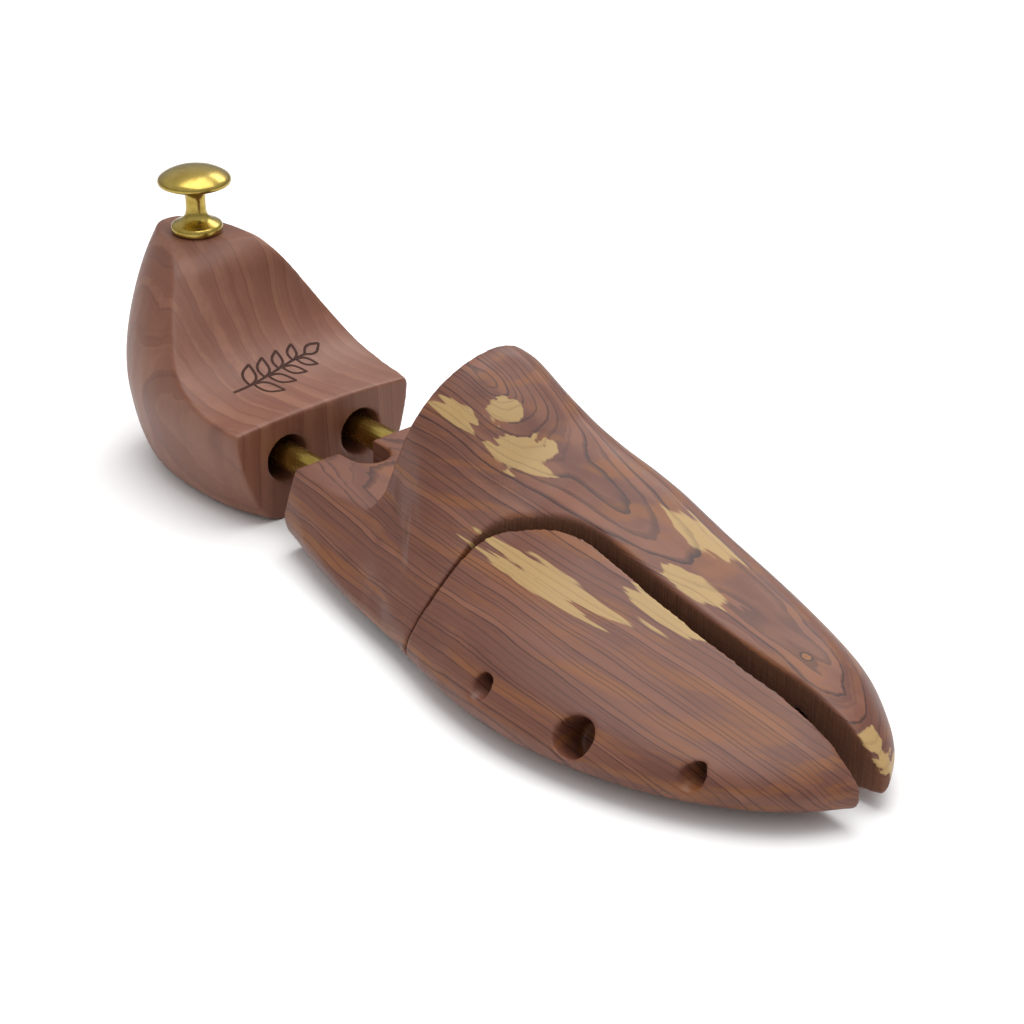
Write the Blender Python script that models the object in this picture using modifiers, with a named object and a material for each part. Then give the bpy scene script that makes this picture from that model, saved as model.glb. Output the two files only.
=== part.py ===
"""A split-toe cedar shoe tree for a right foot, as the assembly it is built from.

Every length below is in millimetres, and MM turns it into metres. Design x = 0 is the rear end of the
forepart, +X points to the toe, -Y is the lateral (little toe) side and Z = 0 is the floor. The whole
design hangs on one empty, which puts the world's origin on the sole's flat.
"""
import math

import bmesh
import bpy
from mathutils import Matrix, Vector

MM = 0.001
GAP = 0.25  # clearance between two pieces that touch on the real object

SOLE_ORIGIN_X = 60.0  # design x of the world's origin

# forepart: the shape of the whole last, body and wing together, before it is sawn
# x, lateral reach, medial reach, ridge y, ridge z, z of the widest line, lateral flare (below 0 a bulge),
# and the flatness of the lateral and of the medial flank
STATIONS = [
    (0.0, 25.5, 24.0, 4.0, 62.0, 12.0, 6.0, -0.20, -0.40),
    (16.0, 30.4, 26.5, 6.0, 65.0, 10.5, 11.0, -0.20, -0.40),
    (34.0, 35.0, 29.5, 8.0, 66.5, 9.0, 17.0, -0.20, -0.40),
    (46.0, 37.6, 31.8, 10.0, 67.3, 8.5, 15.0, -0.10, -0.36),
    (60.0, 40.4, 33.0, 14.0, 60.0, 8.5, 7.0, 0.30, -0.10),
    (75.0, 44.2, 35.2, 17.0, 50.6, 8.5, -1.5, 0.68, -0.05),
    (98.0, 48.4, 37.3, 18.5, 44.2, 8.5, -3.5, 0.58, 0.08),
    (118.0, 49.0, 36.3, 19.0, 38.0, 8.5, -4.5, 0.58, 0.30),
    (138.0, 45.7, 33.6, 18.0, 32.8, 9.0, -4.5, 0.58, 0.36),
    (156.0, 40.0, 29.3, 15.0, 28.6, 9.2, -4.0, 0.52, 0.32),
    (170.0, 32.8, 24.0, 10.0, 25.4, 9.5, -3.0, 0.42, 0.20),
    (181.0, 24.8, 16.8, 4.0, 20.9, 9.5, -1.5, 0.30, 0.10),
    (188.0, 16.8, 11.0, 0.0, 16.6, 9.5, 0.0, 0.20, 0.05),
    (192.3, 8.4, 5.6, -1.5, 13.0, 9.6, 0.0, 0.15, 0.05),
    (194.4, 2.4, 1.8, -1.4, 11.0, 9.8, 0.0, 0.10, 0.05),
]
FLARE_TOP = 0.34  # share of a section's height over which the lateral flare dies away
BELLY = 2.5  # squareness of the lower half of a section
BELLY_DEPTH = 1.3  # how far the belly would hang below the floor, were it not flattened into the sole
TOE_SPRING_X = 128.0  # where the sole starts to rise
TOE_SPRING = 5.0  # how far it has risen at the tip
FOREPART_RING = 40
FOREPART_LOFT_STEPS = 28

PLATEAU_Z = 24.2
STEP_X = 33.0  # foot of the instep's rear wall
STEP_LEAN = 0.31  # forward lean of that wall, per unit of height
STEP_CUT_HEIGHT = 60.0
NOTCH_HALF = 5.8
NOTCH_STRAIGHT = 6.0
NOTCH_Y = 0.2

# the saw cut that frees the toe wing, seen from above
CUT_START = (73.5, -60.0)
CUT_CORNER = (73.5, -22.0)
CUT_ARC_END = (106.0, -2.0)
CUT_TOE = (210.0, -0.8)
KERF = 3.2
HINGE = (73.5, -42.5)  # where the wing's rear edge bears on the body
WING_OPEN_DEG = 2.4

# the twin tubes and what is inside them
TUBE_Y = (-11.1, 14.9)
TUBE_Z = 18.9
TUBE_R = 4.0
TUBE_WALL = 0.6
TUBE_REAR_X = -40.0
TUBE_FRONT_X = 64.0
MOUTH_R = 2.15  # the rolled-in rear mouth, which stops the rod's head
MOUTH_LENGTH = 1.2
ROUND = 0.4  # small edge rounding of turned pieces
ROD_R = 1.8
ROD_HEAD_R = 3.1
ROD_HEAD_LENGTH = 3.0
ROD_REAR_X = -80.0
PLUG_X = (20.0, 32.0)
PIN_R = 0.75
TUBE_PIN_X = 26.0
ROD_PIN_X = -71.0
PIN_FOOT_Z = 0.6  # the pins are driven just below the floor of the wood
ROD_PIN_REACH = 2.0  # past the rod's top
SPRING_WIRE_R = 0.4
LENGTH_SPRING_TURNS = 10

# heel
HEEL_FACE_X = -16.0
HEEL_Y = 2.0
# z, rear x, front x before the face is cut, half-width, x of the widest line
HEEL_LEVELS = [
    (0.0, -83.5, -8.0, 22.5, -42.0),
    (1.2, -85.0, -6.5, 25.0, -42.0),
    (4.0, -86.8, -3.5, 27.6, -42.0),
    (10.0, -89.4, 1.0, 29.8, -42.0),
    (18.0, -91.6, 8.0, 31.4, -42.0),
    (28.0, -92.9, 20.0, 32.3, -43.0),
    (38.0, -93.3, 24.0, 29.4, -47.0),
    (48.0, -92.8, 10.0, 23.8, -54.0),
    (57.0, -91.4, -20.0, 17.7, -60.0),
    (63.5, -89.4, -40.0, 13.1, -62.0),
    (66.0, -88.4, -45.0, 11.0, -62.0),
]
HEEL_SQUARENESS = (2.2, 2.5)  # of its outline behind and in front of the widest line
HEEL_RING = 36
HEEL_LOFT_STEPS = 20
# the scoop in front of the platform: x and z on its centre line, and the slant in plan of the line across
SCOOP = [
    (-92.0, 84.0, 0.66),
    (-78.0, 74.5, 0.66),
    (-65.2, 66.0, 0.66),
    (-58.5, 61.0, 0.40),
    (-55.3, 54.5, 0.20),
    (-52.0, 48.5, 0.08),
    (-48.4, 43.2, 0.02),
    (-43.8, 38.6, 0.00),
    (-37.0, 35.0, -0.04),
    (-28.0, 32.6, -0.06),
    (-16.0, 31.4, -0.08),
    (-4.0, 30.8, -0.08),
]
SCOOP_CROWN = 1.4  # how far the scoop falls away 30 mm to each side
SCOOP_REACH = (26.0, 45.0)  # half-width of the cutter, above the narrow top and over the wide foot
SCOOP_WIDENS_Z = (54.0, 44.0)
SCOOP_STEPS = 24
HEEL_BORE_R = 6.85
HEEL_BORE_DEPTH = 46.0
HEEL_BORE_DROP = 0.7
KNOB_X = -73.2
PLATFORM_Z = 66.0
# the knob's outline as radius and height, from its crown down to its foot
KNOB_HEAD = [
    (0, 19.4),
    (3.0, 19.2),
    (6.0, 18.6),
    (8.6, 17.6),
    (10.2, 16.6),
    (10.7, 15.8),
    (10.6, 15.0),
    (9.9, 14.4),
    (7.0, 13.7),
    (4.6, 12.9),
]
KNOB_NECK = [(3.4, 11.8), (2.95, 10.2), (2.9, 8.0), (3.0, 6.0), (3.5, 4.6)]
KNOB_FLANGE = [(4.8, 3.4), (6.6, 2.6), (7.5, 1.9), (7.6, 0.9), (7.4, 0.0)]
STUD_R = 1.75
STUD_DEPTH = 22.0
STUD_IN_KNOB = 9.8

# wing guides
GUIDE_X = (107.3, 167.5)
GUIDE_Z = (13.5, 12.3)
GUIDE_SHOULDER_Y = (-30.0, -21.5)
GUIDE_SHANK_R = 1.1
GUIDE_HOLE_R = 3.0
GUIDE_HEAD_R = 2.1
GUIDE_HEAD_LENGTH = 2.0
WASHER_R = 2.4
WASHER_T = 0.8
SCREW_DEPTH = (20.0, 14.0)
WEB = 5.0
WING_POCKET_R = 5.2
BODY_POCKET_R = 3.8
BODY_POCKET_DEPTH = 8.0
CLEARANCE_R = 2.1
WING_SPRING_R = 3.0
WING_SPRING_TURNS = 6
VENT_ENTRY = Vector((137.4, -44.3, 13.8))  # on the wing's flank
VENT_OUT = Vector((0.10, -0.86, 0.50))  # the way the drill backs out, nearly square to the flank
VENT_DEPTH = 13.0
VENT_R = 5.3
OUTSIDE = 25.0  # how far outside the wood a drill starts
BREAKTHROUGH = 5.0  # how far past the saw cut a drill runs


def clear_scene():
    for old in list(bpy.data.objects):
        bpy.data.objects.remove(old, do_unlink=True)


def collection(name):
    made = bpy.data.collections.new(name)
    bpy.context.scene.collection.children.link(made)
    return made


def material(name, colour, roughness, metallic=0.0):
    made = bpy.data.materials.new(name)
    made.use_nodes = True
    shader = made.node_tree.nodes["Principled BSDF"]
    shader.inputs["Base Color"].default_value = (*colour, 1.0)
    shader.inputs["Roughness"].default_value = roughness
    shader.inputs["Metallic"].default_value = metallic
    return made


def smooth_through(points, x):
    """A cubic through the named points (Catmull-Rom with uneven steps), at x."""
    last = len(points) - 2
    i = 0
    while i < last and x > points[i + 1][0]:
        i += 1
    low, high = points[i], points[i + 1]
    before = points[max(i - 1, 0)]
    after = points[min(i + 2, last + 1)]
    width = high[0] - low[0]
    t = (x - low[0]) / width
    found = []
    for a, b, c, d in zip(before[1:], low[1:], high[1:], after[1:]):
        slope_low = (c - a) / (high[0] - before[0]) * width
        slope_high = (d - b) / (after[0] - low[0]) * width
        found.append(
            b * (2 * t**3 - 3 * t**2 + 1)
            + slope_low * (t**3 - 2 * t**2 + t)
            + c * (3 * t**2 - 2 * t**3)
            + slope_high * (t**3 - t**2)
        )
    return found


def superellipse(angle, squareness):
    """Cosine and sine of a superellipse: 2 is a circle, more is squarer."""
    c, s = math.cos(angle), math.sin(angle)
    size = (abs(c) ** squareness + abs(s) ** squareness) ** (-1.0 / squareness)
    return c * size, s * size


def quarter(angle, flatness):
    """A quarter arc's cosine and sine, drawn towards a straight chord by a flatness between 0 and 1."""
    c, s = abs(math.cos(angle)), abs(math.sin(angle))
    return (1 - flatness) * c + flatness * c * c, (1 - flatness) * s + flatness * s * s


def last_ring(x, count):
    """The section of the whole last at x, as points in the order round +X."""
    lateral, medial, ridge_y, ridge_z, side_z, flare, flat_lateral, flat_medial = smooth_through(STATIONS, x)
    rise = max(0.0, (x - TOE_SPRING_X) / (STATIONS[-1][0] - TOE_SPRING_X))
    base_z = -BELLY_DEPTH + (TOE_SPRING + BELLY_DEPTH) * rise**2
    ring = []
    for k in range(count):
        angle = 2.0 * math.pi * k / count
        on_medial = math.cos(angle) >= 0.0
        if math.sin(angle) < 0.0:
            c, s = superellipse(angle, BELLY)
            y = c * (medial if on_medial else lateral)
            z = max(side_z + s * (side_z - base_z), 0.0)
        elif on_medial:
            c, s = quarter(angle, flat_medial)
            y = ridge_y + c * (medial - ridge_y)
            z = side_z + s * (ridge_z - side_z)
        else:
            c, s = quarter(angle, flat_lateral)
            spread = max(0.0, 1.0 - (s / FLARE_TOP) ** 2) ** 2
            y = ridge_y - c * (lateral + ridge_y - flare) - flare * spread
            z = side_z + s * (ridge_z - side_z)
        ring.append(Vector((x, y, z)) * MM)
    return ring


def heel_ring(z, count):
    """The heel's outline at height z, before its front face and scoop are cut."""
    rear, front, half, widest = smooth_through(HEEL_LEVELS, z)
    ring = []
    for k in range(count):
        angle = 2.0 * math.pi * k / count
        in_front = math.cos(angle) >= 0.0
        c, s = superellipse(angle, HEEL_SQUARENESS[1] if in_front else HEEL_SQUARENESS[0])
        reach = front - widest if in_front else widest - rear
        ring.append(Vector((widest + c * reach, HEEL_Y + s * half, z)) * MM)
    return ring


def loft(name, rings, into):
    """A closed solid through rings of equal length, with flat ends."""
    bm = bmesh.new()
    rows = [[bm.verts.new(p) for p in ring] for ring in rings]
    for row, after in zip(rows, rows[1:]):
        for k in range(len(row)):
            n = (k + 1) % len(row)
            bm.faces.new((row[k], row[n], after[n], after[k]))
    bm.faces.new(rows[0][::-1])
    bm.faces.new(rows[-1])
    bmesh.ops.recalc_face_normals(bm, faces=bm.faces)
    return solid(name, bm, into)


def solid(name, bm, into):
    mesh = bpy.data.meshes.new(name)
    bm.to_mesh(mesh)
    bm.free()
    made = bpy.data.objects.new(name, mesh)
    into.objects.link(made)
    return made


def cylinder(name, radius, start, end, into, segments=28):
    """A cylinder from start to end, both in design millimetres."""
    a, b = Vector(start), Vector(end)
    bm = bmesh.new()
    depth = (b - a).length * MM
    radius = radius * MM
    bmesh.ops.create_cone(
        bm, cap_ends=True, segments=segments, radius1=radius, radius2=radius, depth=depth
    )
    made = solid(name, bm, into)
    made.location = (a + b) * 0.5 * MM
    made.rotation_mode = "QUATERNION"
    made.rotation_quaternion = Vector((0, 0, 1)).rotation_difference(b - a)
    return made


def box(name, low, high, into):
    bm = bmesh.new()
    bmesh.ops.create_cube(bm, size=1.0)
    size = [(h - l) * MM for l, h in zip(low, high)]
    middle = [(h + l) * 0.5 * MM for l, h in zip(low, high)]
    bm.transform(Matrix.Translation(middle) @ Matrix.Diagonal((*size, 1.0)))
    return solid(name, bm, into)


def prism(name, outline, low_z, high_z, into):
    """A closed plan outline, extruded between two heights."""
    curve = bpy.data.curves.new(name, "CURVE")
    curve.dimensions = "2D"
    curve.fill_mode = "BOTH"
    curve.extrude = (high_z - low_z) * 0.5 * MM
    spline = curve.splines.new("POLY")
    spline.points.add(len(outline) - 1)
    for point, (x, y) in zip(spline.points, outline):
        point.co = (x * MM, y * MM, 0.0, 1.0)
    spline.use_cyclic_u = True
    drawn = bpy.data.objects.new(name, curve)
    into.objects.link(drawn)
    made = as_mesh(drawn, into)
    made.location.z = (high_z + low_z) * 0.5 * MM
    return made


def as_mesh(drawn, into):
    """A mesh object in place of a curve object, with its caps welded."""
    name = drawn.name
    bpy.context.view_layer.update()
    mesh = bpy.data.meshes.new_from_object(drawn.evaluated_get(bpy.context.evaluated_depsgraph_get()))
    bm = bmesh.new()
    bm.from_mesh(mesh)
    bmesh.ops.remove_doubles(bm, verts=bm.verts, dist=1e-6)
    bmesh.ops.recalc_face_normals(bm, faces=bm.faces)
    bm.to_mesh(mesh)
    bm.free()
    place = drawn.matrix_world.copy()
    bpy.data.objects.remove(drawn)
    made = bpy.data.objects.new(name, mesh)
    made.matrix_world = place
    into.objects.link(made)
    return made


def turned(name, profile, into, steps=32):
    """A profile of (radius, height) points spun round local Z. It's open at the axis or a closed ring."""
    mesh = bpy.data.meshes.new(name)
    ring = profile[0] == profile[-1]
    verts = [(r * MM, 0.0, h * MM) for r, h in (profile[:-1] if ring else profile)]
    edges = [(i, i + 1) for i in range(len(verts) - 1)]
    if ring:
        edges.append((len(verts) - 1, 0))
    mesh.from_pydata(verts, edges, [])
    made = bpy.data.objects.new(name, mesh)
    into.objects.link(made)
    screw = made.modifiers.new("Spin", "SCREW")
    screw.steps = steps
    screw.render_steps = steps
    screw.use_merge_vertices = True
    screw.merge_threshold = 1e-5
    return made


def coil(name, mean_r, wire_r, length, turns, into, points_per_turn=8):
    """A compression spring along local Z from 0 to length, with a closed turn at each end."""
    curve = bpy.data.curves.new(name, "CURVE")
    curve.dimensions = "3D"
    curve.bevel_depth = wire_r * MM
    curve.bevel_resolution = 1
    curve.use_fill_caps = True
    spline = curve.splines.new("POLY")
    count = turns * points_per_turn + 1
    spline.points.add(count - 1)
    rest = 2.2 * wire_r
    open_turns = turns - 2
    for k, point in enumerate(spline.points):
        turn = k / points_per_turn
        climb = min(max(turn - 1.0, 0.0), open_turns) / open_turns
        closed = min(turn, 1.0) + max(turn - 1.0 - open_turns, 0.0)
        z = wire_r + closed * rest + climb * (length - 2.0 * wire_r - 2.0 * rest)
        angle = 2.0 * math.pi * turn
        point.co = (mean_r * math.cos(angle) * MM, mean_r * math.sin(angle) * MM, z * MM, 1.0)
    drawn = bpy.data.objects.new(name, curve)
    into.objects.link(drawn)
    return as_mesh(drawn, into)


def cut(target, cutter, operation="DIFFERENCE"):
    """Booleans one solid with another; a cutter is only drawn as wire."""
    step = target.modifiers.new(cutter.name, "BOOLEAN")
    step.operation = operation
    step.object = cutter
    step.solver = "EXACT"
    cutter.hide_render = True
    cutter.display_type = "WIRE"


def cut_curve():
    """The saw's path from the lateral side round to the toe, in plan."""
    path = [CUT_START, CUT_CORNER]
    reach_x = CUT_ARC_END[0] - CUT_CORNER[0]
    reach_y = CUT_ARC_END[1] - CUT_CORNER[1]
    for k in range(1, 13):
        angle = k / 12 * math.pi / 2
        path.append((CUT_ARC_END[0] - reach_x * math.cos(angle), CUT_CORNER[1] + reach_y * math.sin(angle)))
    for k in range(1, 9):
        t = k / 8
        path.append(tuple(a + t * (b - a) for a, b in zip(CUT_ARC_END, CUT_TOE)))
    return path


def swing(point, degrees):
    """A plan point turned about the wing's hinge line."""
    a = math.radians(degrees)
    x, y = point[0] - HINGE[0], point[1] - HINGE[1]
    return (HINGE[0] + x * math.cos(a) - y * math.sin(a), HINGE[1] + x * math.sin(a) + y * math.cos(a))


def whole_last(name, into):
    first, last = STATIONS[0][0], STATIONS[-1][0]
    xs = []
    for k in range(FOREPART_LOFT_STEPS + 1):
        t = k / FOREPART_LOFT_STEPS
        xs.append(first + (last - first) * math.sin(t * math.pi / 2) ** 0.9)
    return loft(name, [last_ring(x, FOREPART_RING) for x in xs], into)


def make_forepart(parts, cutters):
    body = whole_last("forepart_body", parts)
    step_top_x = STEP_X + STEP_LEAN * STEP_CUT_HEIGHT
    step_top_z = PLATEAU_Z + STEP_CUT_HEIGHT
    step = [(-40, PLATEAU_Z), (STEP_X, PLATEAU_Z), (step_top_x, step_top_z), (-40, step_top_z)]
    cut(body, prism_side("step_cut", step, -60, 60, cutters))

    notch = [(-10, NOTCH_Y - NOTCH_HALF), (NOTCH_STRAIGHT, NOTCH_Y - NOTCH_HALF)]
    for k in range(1, 13):
        angle = -math.pi / 2 + k * math.pi / 13
        notch.append((NOTCH_STRAIGHT + NOTCH_HALF * math.cos(angle), NOTCH_Y + NOTCH_HALF * math.sin(angle)))
    notch += [(NOTCH_STRAIGHT, NOTCH_Y + NOTCH_HALF), (-10, NOTCH_Y + NOTCH_HALF)]
    cut(body, prism("notch_cut", notch, -5, 40, cutters))

    path = cut_curve()
    cut(body, prism("wing_cut", path + [(210, -60)], -10, 80, cutters))

    for y in TUBE_Y:
        end_x = TUBE_FRONT_X + GAP
        cut(body, cylinder("tube_bore", TUBE_R + GAP, (-5, y, TUBE_Z), (end_x, y, TUBE_Z), cutters))
        pin_top = (TUBE_PIN_X, y, TUBE_Z)
        cut(body, cylinder("tube_pin_bore", PIN_R + GAP, (TUBE_PIN_X, y, -5), pin_top, cutters, 16))

    for x, z, depth in zip(GUIDE_X, GUIDE_Z, SCREW_DEPTH):
        y = cut_y(x)
        floor_y = y + BODY_POCKET_DEPTH
        cut(body, cylinder("spring_pocket", BODY_POCKET_R, (x, y - 10, z), (x, floor_y, z), cutters, 20))
        end_y = y + depth + GAP
        cut(body, cylinder("screw_bore", GUIDE_SHANK_R + GAP, (x, y, z), (x, end_y, z), cutters, 16))
    return body


def cut_y(x):
    """The saw cut's y at x on its straight run or arc."""
    path = cut_curve()[2:]
    for (x0, y0), (x1, y1) in zip(path, path[1:]):
        if x0 <= x <= x1:
            return y0 + (y1 - y0) * (x - x0) / (x1 - x0)
    raise ValueError("no saw cut at this x")


def prism_side(name, outline, low_y, high_y, into):
    """A closed side outline of (x, z) points, extruded along Y."""
    bm = bmesh.new()
    near = [bm.verts.new((x * MM, low_y * MM, z * MM)) for x, z in outline]
    far = [bm.verts.new((x * MM, high_y * MM, z * MM)) for x, z in outline]
    for k in range(len(outline)):
        n = (k + 1) % len(outline)
        bm.faces.new((near[k], near[n], far[n], far[k]))
    bm.faces.new(near)
    bm.faces.new(far)
    bmesh.ops.recalc_face_normals(bm, faces=bm.faces)
    return solid(name, bm, into)


def make_wing(parts, cutters):
    """The toe wing, modelled closed. Its hinge's empty swings it open."""
    wing = whole_last("toe_wing", parts)
    path = [(x + GAP, y - KERF) for x, y in cut_curve()]
    outer = (CUT_TOE[0], CUT_START[1] - KERF)
    cut(wing, prism("wing_keep", path + [outer], -10, 80, cutters), "INTERSECT")
    for guide_x, z, shoulder in zip(GUIDE_X, GUIDE_Z, GUIDE_SHOULDER_Y):
        # drilled so that the screw runs through the middle of the hole at half travel
        x = swing((guide_x, shoulder + WEB / 2), WING_OPEN_DEG / 2)[0]
        outer_y = HINGE[1] - OUTSIDE
        inner_y = cut_y(guide_x) + BREAKTHROUGH
        cut(wing, cylinder("guide_counterbore", GUIDE_HOLE_R, (x, outer_y, z), (x, shoulder, z), cutters, 24))
        start = (x, shoulder - CLEARANCE_R, z)
        cut(wing, cylinder("guide_clearance", CLEARANCE_R, start, (x, inner_y, z), cutters, 20))
        pocket_end = (x, shoulder + WEB, z)
        cut(wing, cylinder("wing_pocket", WING_POCKET_R, pocket_end, (x, inner_y, z), cutters, 24))
    drill = VENT_OUT.normalized()
    vent_start = VENT_ENTRY + drill * OUTSIDE
    vent_end = VENT_ENTRY - drill * VENT_DEPTH
    cut(wing, cylinder("vent_bore", VENT_R, vent_start, vent_end, cutters, 32))
    return wing


def make_heel(parts, cutters):
    levels = []
    low, high = HEEL_LEVELS[0][0], HEEL_LEVELS[-1][0]
    for k in range(HEEL_LOFT_STEPS + 1):
        t = k / HEEL_LOFT_STEPS
        levels.append(low + (high - low) * (t**1.25))
    heel = loft("heel_block", [heel_ring(z, HEEL_RING) for z in levels], parts)
    cut(heel, box("face_cut", (HEEL_FACE_X, -60, -5), (60, 60, 90), cutters))
    cut(heel, scoop_cutter(cutters))
    z = TUBE_Z - HEEL_BORE_DROP
    for y in TUBE_Y:
        back = HEEL_FACE_X - HEEL_BORE_DEPTH
        cut(heel, cylinder("heel_bore", HEEL_BORE_R, (back, y, z), (0, y, z), cutters))
        rod_end = (ROD_REAR_X - GAP, y, TUBE_Z)
        cut(heel, cylinder("rod_bore", ROD_R + GAP, rod_end, (back + 1, y, TUBE_Z), cutters, 20))
        pin_top = (ROD_PIN_X, y, rod_pin_top() + GAP)
        cut(heel, cylinder("rod_pin_bore", PIN_R + GAP, (ROD_PIN_X, y, -5), pin_top, cutters, 16))
    stud_end = (KNOB_X, HEEL_Y, PLATFORM_Z - STUD_DEPTH - GAP)
    above = (KNOB_X, HEEL_Y, PLATFORM_Z + OUTSIDE)
    cut(heel, cylinder("stud_bore", STUD_R + GAP, stud_end, above, cutters, 20))
    return heel


def rod_pin_top():
    return TUBE_Z + ROD_R + ROD_PIN_REACH


def scoop_cutter(cutters):
    """A solid whose underside is the scoop: lines across the heel, slanted in plan and slightly crowned."""
    rows = [(float(i), *row) for i, row in enumerate(SCOOP)]
    wide_z, full_z = SCOOP_WIDENS_Z
    sides = 10
    rings = []
    for k in range(SCOOP_STEPS + 1):
        x, floor_z, slant = smooth_through(rows, rows[-1][0] * k / SCOOP_STEPS)
        widen = min(max((wide_z - floor_z) / (wide_z - full_z), 0.0), 1.0)
        reach = SCOOP_REACH[0] + (SCOOP_REACH[1] - SCOOP_REACH[0]) * widen
        ring = []
        for j in range(sides + 1):
            side = reach * (2.0 * j / sides - 1.0)
            z = floor_z - SCOOP_CROWN * (side / 30.0) ** 2
            ring.append(Vector((x + slant * side, HEEL_Y + side, z)) * MM)
        ring.append(Vector((x + slant * reach, HEEL_Y + reach, 130.0)) * MM)
        ring.append(Vector((x - slant * reach, HEEL_Y - reach, 130.0)) * MM)
        rings.append(ring)
    return loft("scoop_cut", rings, cutters)


def along_x(obj, x, y, z):
    """Lays a turned piece or a coil along +X with its height 0 at this point."""
    obj.rotation_euler = (0.0, math.pi / 2, 0.0)
    obj.location = Vector((x, y, z)) * MM


def make_tube(side, y, parts, cutters):
    length = TUBE_FRONT_X - TUBE_REAR_X
    inner = TUBE_R - TUBE_WALL
    profile = [
        (inner, length),
        (TUBE_R, length),
        (TUBE_R, ROUND),
        (TUBE_R - ROUND, 0.0),
        (MOUTH_R, 0.0),
        (MOUTH_R, MOUTH_LENGTH),
        (inner, MOUTH_LENGTH),
        (inner, length),
    ]
    tube = turned("outer_tube_" + side, profile, parts, 24)
    along_x(tube, TUBE_REAR_X, y, TUBE_Z)
    pin_top = (TUBE_PIN_X, y, TUBE_Z)
    cut(tube, cylinder("tube_pin_hole", PIN_R + GAP, (TUBE_PIN_X, y, 0), pin_top, cutters, 16))
    return tube


def rod_head_end_x():
    """The front face of a rod's head when it stands on the tube's rolled mouth."""
    return TUBE_REAR_X + MOUTH_LENGTH + GAP + ROD_HEAD_LENGTH


def make_rod(side, y, parts, cutters):
    length = rod_head_end_x() - ROD_REAR_X
    head_low = length - ROD_HEAD_LENGTH
    profile = [
        (0, length),
        (ROD_HEAD_R - ROUND, length),
        (ROD_HEAD_R, length - ROUND),
        (ROD_HEAD_R, head_low),
        (ROD_R, head_low),
        (ROD_R, ROUND),
        (ROD_R - ROUND, 0),
        (0, 0),
    ]
    rod = turned("inner_rod_" + side, profile, parts, 20)
    along_x(rod, ROD_REAR_X, y, TUBE_Z)
    cut(rod, cylinder("rod_pin_hole", PIN_R + GAP, (ROD_PIN_X, y, 0), (ROD_PIN_X, y, 40), cutters, 16))
    return rod


def make_plug(side, y, parts, cutters):
    radius = TUBE_R - TUBE_WALL - GAP
    plug = cylinder("tube_plug_" + side, radius, (PLUG_X[0], y, TUBE_Z), (PLUG_X[1], y, TUBE_Z), parts, 24)
    pin_top = (TUBE_PIN_X, y, TUBE_Z + GAP)
    cut(plug, cylinder("plug_pin_hole", PIN_R + GAP, (TUBE_PIN_X, y, 0), pin_top, cutters, 16))
    return plug


def make_pins(side, y, parts):
    pins = []
    for name, x, top_z in (("tube_pin_", TUBE_PIN_X, TUBE_Z - GAP), ("rod_pin_", ROD_PIN_X, rod_pin_top())):
        pins.append(cylinder(name + side, PIN_R, (x, y, PIN_FOOT_Z), (x, y, top_z), parts, 14))
    return pins


def make_length_spring(side, y, parts):
    start = rod_head_end_x() + GAP
    radius = TUBE_R - TUBE_WALL - SPRING_WIRE_R - GAP
    length = PLUG_X[0] - GAP - start
    spring = coil("length_spring_" + side, radius, SPRING_WIRE_R, length, LENGTH_SPRING_TURNS, parts)
    along_x(spring, start, y, TUBE_Z)
    return spring


def make_guides(parts, cutters):
    made = []
    rows = zip(("rear", "front"), GUIDE_X, GUIDE_Z, GUIDE_SHOULDER_Y, SCREW_DEPTH)
    for side, x, z, shoulder, depth in rows:
        seat = swing((x, shoulder), -WING_OPEN_DEG)[1] - GAP
        end = cut_y(x) + depth
        head = seat - WASHER_T - GAP
        length = end - (head - GUIDE_HEAD_LENGTH)
        profile = [
            (0, length),
            (GUIDE_SHANK_R - 0.5, length),
            (GUIDE_SHANK_R, length - 0.8),
            (GUIDE_SHANK_R, GUIDE_HEAD_LENGTH),
            (GUIDE_HEAD_R, GUIDE_HEAD_LENGTH),
            (GUIDE_HEAD_R, ROUND),
            (GUIDE_HEAD_R - ROUND, 0),
            (0, 0),
        ]
        screw = turned("guide_screw_" + side, profile, parts, 20)
        head_y = head - GUIDE_HEAD_LENGTH
        along_y(screw, x, head_y, z)
        cut(screw, box("slot", (x - 0.4, head_y - 1, z - 4), (x + 0.4, head_y + 1, z + 4), cutters))

        hole = GUIDE_SHANK_R + GAP
        ring = [(hole, WASHER_T), (WASHER_R, WASHER_T), (WASHER_R, 0), (hole, 0), (hole, WASHER_T)]
        washer = turned("guide_washer_" + side, ring, parts, 20)
        along_y(washer, x, seat - WASHER_T, z)

        floor = swing((x, shoulder + WEB), -WING_OPEN_DEG)[1] + 2 * GAP
        length = cut_y(x) + BODY_POCKET_DEPTH - GAP - floor
        spring = coil("wing_spring_" + side, WING_SPRING_R, SPRING_WIRE_R, length, WING_SPRING_TURNS, parts)
        along_y(spring, x, floor, z)
        made += [screw, washer, spring]
    return made


def along_y(obj, x, y, z):
    """Lays a turned piece or a coil along +Y with its height 0 at this point."""
    obj.rotation_euler = (-math.pi / 2, 0.0, 0.0)
    obj.location = Vector((x, y, z)) * MM


def make_knob(parts):
    """The mushroom knob, blind-bored for its stud. Height 0 is the foot of its flange."""
    bore = [(STUD_R + GAP, 0.0), (STUD_R + GAP, STUD_IN_KNOB + GAP), (0, STUD_IN_KNOB + GAP)]
    knob = turned("pull_knob", KNOB_HEAD + KNOB_NECK + KNOB_FLANGE + bore, parts, 28)
    knob.location = Vector((KNOB_X, HEEL_Y, PLATFORM_Z + GAP)) * MM
    foot = (KNOB_X, HEEL_Y, PLATFORM_Z - STUD_DEPTH)
    stud = cylinder("knob_stud", STUD_R, foot, (KNOB_X, HEEL_Y, PLATFORM_Z + STUD_IN_KNOB), parts, 20)
    return knob, stud


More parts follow.
